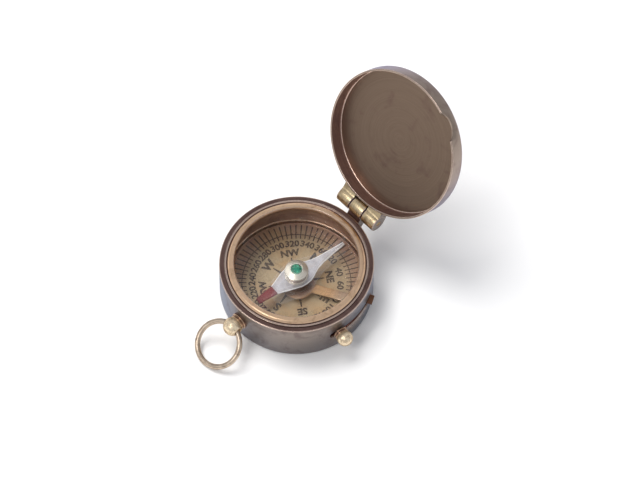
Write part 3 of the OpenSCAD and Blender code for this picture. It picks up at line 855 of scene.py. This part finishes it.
# Each facet's colour, from near black to bright green, is picked by the way it faces. These are painted
# glints and dark facets that stand in for the light inside the stone.
stone, tree, shader = new_material("green_stone")
facet_glint = mottle(tree, add(tree, "ShaderNodeNewGeometry").outputs["Normal"], 5.5, 2.0)
inner = mottle(tree, add(tree, "ShaderNodeTexCoord").outputs["Object"], 1500.0, 2.0)
colours = add(tree, "ShaderNodeValToRGB", {"Fac": ramp(tree, scaled(tree, inner, 0.5, facet_glint), 0.56, 0.98)})
colours.color_ramp.elements[0].color = (0.0, 0.035, 0.022, 1)
colours.color_ramp.elements[1].color = (0.09, 0.62, 0.38, 1)
middle = colours.color_ramp.elements.new(0.55)
middle.color = (0.006, 0.20, 0.115, 1)
feed(shader, {
    "Base Color": colours, "Roughness": 0.06, "IOR": 1.6, "Coat Weight": 0.6, "Coat Roughness": 0.03})
finished("jewel", cut_stone(), "needle", ["hub_jewel"], [stone])

# ------------------------------------------------------------------ glass and bezel
# A flat glass lies on a sprung ring, and a turned brass bezel holds it down. The bezel's face
# slopes up to a rounded inner lip.
GLASS_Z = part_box("glass")[0].z / MM
GLASS_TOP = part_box("glass")[1].z / MM
GLASS_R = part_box("glass")[1].x / MM
window, tree, shader = new_material("window_glass")
haze = mottle(tree, add(tree, "ShaderNodeTexCoord").outputs["Object"], 260.0, 4.0)
feed(shader, {
    "Base Color": (0.93, 0.96, 0.95, 1), "Roughness": ramp(tree, haze, 0.0, 1.0, 0.02, 0.12),
    "Transmission Weight": 1.0, "Alpha": 0.12})
glass = rounded([(0, GLASS_Z, 0), (GLASS_R, GLASS_Z, 0.12), (GLASS_R, GLASS_TOP, 0.12), (0, GLASS_TOP, 0)], 3)
finished("glass", turned(glass, 192), "case", ["glass"], [window])

BEZEL_IN = 20.0
BEZEL_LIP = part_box("bezel_ring")[1].z / MM
BEZEL_WALL = CASE_H + 0.6
FLANGE_Z = BEZEL_WALL - 0.25
GROOVE_R = 22.45
BEZEL_LIT_EDGE, BEZEL_PLUM = 1, 2
bezel_gold = turned_metal(
    "bezel_gold", (0.90, 0.62, 0.40), (0.56, 0.34, 0.20), 0.32, marks=30.0, stained=0.42, clouds=0.4)
outline = rounded([
    (BEZEL_IN + 0.5, GLASS_TOP, 0), (GLASS_R, GLASS_TOP, 0), (GLASS_R, FLANGE_Z, 0.12),
    (GROOVE_R + 0.25, FLANGE_Z, 0.08), (GROOVE_R, BEZEL_WALL - 0.45, 0),
    (GROOVE_R - 0.15, BEZEL_WALL - 0.2, 0), (GROOVE_R - 0.8, BEZEL_LIP, 0.8),
    (BEZEL_IN + 0.3, BEZEL_LIP, 0.22), (BEZEL_IN, BEZEL_LIP - 0.5, 0.2)], 6)
# The groove and the outer wall take the plum, patina with painted shade. The flat of the flange and the inner
# lip take the pale edge colour, rubbed bright and painted as highlight lines.
bezel = []
for r, z, bright_edge in outline:
    in_groove = GROOVE_R - 0.1 < r < GROOVE_R + 0.24
    on_flange = r > GROOVE_R + 0.2 and z > BEZEL_WALL - 0.4
    if in_groove or r > GLASS_R - 0.01 and not on_flange:
        bezel.append((r, z, BEZEL_PLUM))
    else:
        bezel.append((r, z, BEZEL_LIT_EDGE if on_flange or bright_edge and r < BEZEL_IN + 0.4 else 0))
finished("bezel", turned(bezel, 256), "case", ["bezel_ring"],
         [bezel_gold, rubbed_and_highlit_edge, plum_shade_and_patina])

# ------------------------------------------------------------------ bow and ring
# The bow is a cast brass ball on a stepped collar, tenoned through the wall. A loose ring of
# drawn wire hangs in its eye.
BOW_BALL = 28.2
BOW_BALL_R = 3.1
bow_place = outward(-90, BOW_Z)
bow_brass = pitted_brass("bow_brass", bow_place)
RING_R = 7.4
WIRE_R = 0.9
EYE_END = 3.2
EYE_STEPS = 20
eye = [(0, -EYE_END, 0)]
for k in range(EYE_STEPS + 1):
    along = EYE_END * (2 * k / EYE_STEPS - 1)
    eye.append((RING_R + WIRE_R + 0.1 - math.sqrt(RING_R ** 2 - along ** 2), along, 0))
eye.append((0, EYE_END, 0))
eye_centre = moved(0, -BOW_BALL, BOW_Z)
eye_hole = turned(eye, 64, eye_centre @ spun(90, "Y"))
stud_mesh = combined(
    dented_ball(BOW_BALL_R, BOW_BALL, TENON_R, BORE_R - 0.3, bow_place), [eye_hole],
    (bow_brass, rubbed_and_highlit_edge), ease=0.12, angle=35)
finished("bow_stud", stud_mesh, "case", ["bow_stud"], ())
bow_bronze = turned_metal("bow_bronze", (0.32, 0.18, 0.12), (0.11, 0.06, 0.05), 0.3, bow_place, stained=0.5)
bow_edge = turned_metal(
    "bow_edge", (0.72, 0.52, 0.34), (0.30, 0.18, 0.11), 0.28, bow_place, clouds=0.8, stained=0.6)
BOW_STEPS = (2.9, 2.4, 2.65)
# The collar's foot goes below the wall's surface, and the wall is then cut away from it.
saddle = [(TENON_R, CASE_R - 0.3, 0), (BOW_STEPS[0], CASE_R - 0.3, 0)]
saddle += collar_outline(BOW_STEPS, TENON_R)[4:]
wall = cylinder(CASE_R, -1, 20, 256)
saddle_mesh = combined(turned(saddle, 96, bow_place), [wall], (bow_bronze, bow_edge))
finished("bow_collar", saddle_mesh, "case", ["bow_collar"], ())

RING_DROOP = 31.9


def wire_ring(around=160, across=28):
    """A closed ring of wire that is a little flattened and uneven, as a bent and soldered ring is."""
    bm = bmesh.new()
    section = [2 * math.pi * k / across for k in range(across)]
    loops = []
    for i in range(around):
        a = 2 * math.pi * i / around
        swell = 1 - 0.012 * (1 + math.sin(3 * a + 0.7) * math.sin(5 * a))
        loops.append([bm.verts.new((
            (RING_R + WIRE_R * swell * math.cos(b)) * math.cos(a) * MM,
            (RING_R + WIRE_R * swell * math.cos(b)) * math.sin(a) * MM,
            WIRE_R * swell * math.sin(b) * MM)) for b in section])
    for i, here in enumerate(loops):
        following = loops[(i + 1) % around]
        for k in range(across):
            bm.faces.new((here[k], following[k], following[(k + 1) % across], here[(k + 1) % across]))
    bmesh.ops.recalc_face_normals(bm, faces=bm.faces)
    return bm


ring_place = eye_centre @ spun(-90, "Z") @ spun(RING_DROOP, "Y") @ moved(RING_R, 0, 0)
# The wire's dark edge tint is painted shade along the rims of the wire.
ring_brass = turned_metal(
    "drawn_wire_brass", (0.70, 0.57, 0.44), (0.27, 0.19, 0.14), 0.3, ring_place, marks=12.0, stained=0.55,
    relief=0.5, tint=(0.12, 0.09, 0.08), clouds=0.35)
finished("carrying_ring", shaped(wire_ring(), ring_place), "ring", ["bow_ring"], [ring_brass])

# ------------------------------------------------------------------ hinge
# Three brass knuckles on one pin: the middle one is soldered to the case's wall, the outer two
# to the lid's rim.
HINGE_Y = 28.55
HINGE_Z = 17.68
BARREL_R = 3.0
KNUCKLE = 17 / 3
PIN_R = 0.9
LID_OPEN = 120.7
WEB_FREE = BARREL_R + 0.03
CASE_WEB_SHADE, KNUCKLE_SHADE_END = 2, 3
hinge_axis = moved(0, HINGE_Y, HINGE_Z)
opened = hinge_axis @ spun(-LID_OPEN, "X") @ moved(0, -HINGE_Y, -HINGE_Z)


def knuckle(start, hole, web, wall_r, place):
    """A length of barrel from a start along X, its web to the wall it sits on, and its pin hole."""
    length = KNUCKLE - 0.3
    barrel = rounded([(hole, 0, 0.06), (BARREL_R, 0, 0.3), (BARREL_R, length, 0.3), (hole, length, 0.06)], 4)
    along = moved(start + 0.15, HINGE_Y, HINGE_Z) @ spun(90, "Y")
    web_mesh = prism([[(x, y, z) for y, z in web] for x in (start + 0.2, start + 0.1 + length)])
    curve = cylinder(wall_r, -5, 40, 256)
    bore = cylinder(hole, -1, 8, 48, along)
    web_mesh = combined(web_mesh, [curve, bore], (knuckle_brass, rubbed_and_highlit_edge))
    web_mesh.materials.clear()
    materials = (knuckle_brass, rubbed_and_highlit_edge, plum_shade_and_patina, knuckle_shade_end)
    mesh = combined(turned(barrel, 72, along), [web_mesh], materials, join=True)
    # Faces off the barrel are the web. The web is brass on the lid's knuckles, and on the case's knuckle it
    # is painted plum as shade below the barrel. The barrels' flat ends are painted dark, as shade in the gaps
    # between knuckles.
    for face in mesh.polygons:
        if math.hypot(face.center.y / MM - HINGE_Y, face.center.z / MM - HINGE_Z) > WEB_FREE:
            face.material_index = 0 if place else CASE_WEB_SHADE
        elif abs(face.normal.x) > 0.9:
            face.material_index = KNUCKLE_SHADE_END
    if place:
        mesh.transform(place)
    return mesh


barrel_place = hinge_axis @ spun(90, "Y")
# The knuckles' dark edge tint is painted shade along their rims.
knuckle_brass = turned_metal(
    "knuckle_brass", (0.78, 0.62, 0.38), (0.20, 0.13, 0.08), 0.3, barrel_place, marks=12.0, stained=0.55,
    relief=0.5, tint=(0.14, 0.10, 0.08), clouds=0.4)
knuckle_shade_end = turned_metal(
    "knuckle_shade_end", (0.30, 0.25, 0.22), (0.14, 0.10, 0.09), 0.34, barrel_place, stained=0.6)
case_web = [(CASE_R - 0.98, 9.5), (CASE_R + 0.42, 9.5), (HINGE_Y - 0.9, 12.4), (HINGE_Y + 1.2, 14.2),
            (HINGE_Y + 2.5, 16.3), (HINGE_Y + 1.2, HINGE_Z), (HINGE_Y - 1.2, HINGE_Z), (HINGE_Y - 2.7, 16.5),
            (CASE_R + 0.12, 15.2), (CASE_R - 0.98, 15.2)]
case_knuckle = knuckle(-KNUCKLE / 2, PIN_R, case_web, CASE_R + 0.01, None)
finished("case_knuckle", case_knuckle, "case", ["case_knuckle"], ())
LID_R = 24.82
lid_web = [(LID_R - 1, CASE_H + 0.5), (LID_R + 0.5, CASE_H + 0.5), (HINGE_Y - 2.4, HINGE_Z - 1.75),
           (HINGE_Y - 1.2, HINGE_Z), (HINGE_Y - 0.6, HINGE_Z + 2.9), (LID_R - 1, HINGE_Z + 2.66)]
for name, start in (("left_knuckle", -1.5 * KNUCKLE), ("right_knuckle", KNUCKLE / 2)):
    lid_knuckle = knuckle(start, PIN_R + 0.05, lid_web, LID_R + 0.005, opened)
    finished(name, lid_knuckle, "lid", [name], ())
PIN_HALF = 8.2
pin = rounded([(0, -PIN_HALF, 0), (PIN_R, -PIN_HALF, 0.25), (PIN_R, PIN_HALF, 0.25), (0, PIN_HALF, 0)], 3)
pin_mesh = turned(pin, 48, barrel_place)
finished("hinge_pin", pin_mesh, "case", ["hinge_pin"], [knuckle_brass, rubbed_and_highlit_edge])

# ------------------------------------------------------------------ lid
# The lid is a shallow turned cup, brown with age and brushed in circles inside. A thumb notch is
# filed into its rim.
LID_H = 5.65
LID_DEPTH = 4.85
LID_WALL = 0.67
NOTCH_TURN = -53.8
NOTCH_R = 5.8
NOTCH_DEPTH = 2.4
LID_IN = LID_R - LID_WALL
LID_PLATE, LID_SKIRT = 2, 3
lid_place = opened @ moved(0, 0, CASE_H + 0.02)
# The lid's bluish edge tint is a painted reflection on its sides.
lid_brown = turned_metal(
    "lid_brown", (0.39, 0.31, 0.245), (0.25, 0.175, 0.145), 0.36, lid_place, tint=(0.66, 0.72, 1.0))
lid_plate = turned_metal(
    "lid_inside_plate", (0.205, 0.145, 0.105), (0.185, 0.12, 0.095), 0.40, lid_place, marks=22.0,
    stained=0.25)
lid_skirt = turned_metal("lid_inside_skirt", (0.62, 0.42, 0.37), (0.42, 0.27, 0.25), 0.42, lid_place)
lid_edge = turned_metal("lid_edge", (0.82, 0.63, 0.52), (0.50, 0.34, 0.27), 0.26, stained=0.3)


def lid_worn(r, z):
    """The pale edge colour goes on the rim, rubbed bright and painted as a highlight, and in the corner
    between the plate and the skirt, painted as a highlight.
    """
    return z < 0.4 or (r < LID_R - 0.5 and LID_DEPTH - 0.5 < z < LID_DEPTH + 0.1)


lid_outline = rounded([
    (0, LID_DEPTH, 0), (LID_IN, LID_DEPTH, 0.28), (LID_IN, 0, 0.14), (LID_R, 0, 0.14), (LID_R, LID_H, 1.3),
    (0, LID_H, 0)], 7)
lid_outline = [(r, z, bright_edge and lid_worn(r, z)) for r, z, bright_edge in lid_outline]
notch = cylinder(NOTCH_R, 20, 30, 160, outward(NOTCH_TURN, NOTCH_DEPTH - NOTCH_R))
lid_mesh = combined(
    turned(lid_outline, 256), [notch], (lid_brown, lid_edge, lid_plate, lid_skirt), ease=0.1, angle=60)
for face in lid_mesh.polygons:
    height = face.center.z / MM
    outwards = (face.normal.x * face.center.x + face.normal.y * face.center.y) / math.hypot(*face.center[:2])
    if face.material_index == 0 and height < LID_DEPTH + 0.1:
        if outwards < -0.7:
            face.material_index = LID_SKIRT
        elif face.normal.z < -0.9 and height > LID_DEPTH - 0.2:
            face.material_index = LID_PLATE
lid_mesh.transform(lid_place)
finished("lid", lid_mesh, "lid", ["lid_shell"], ())
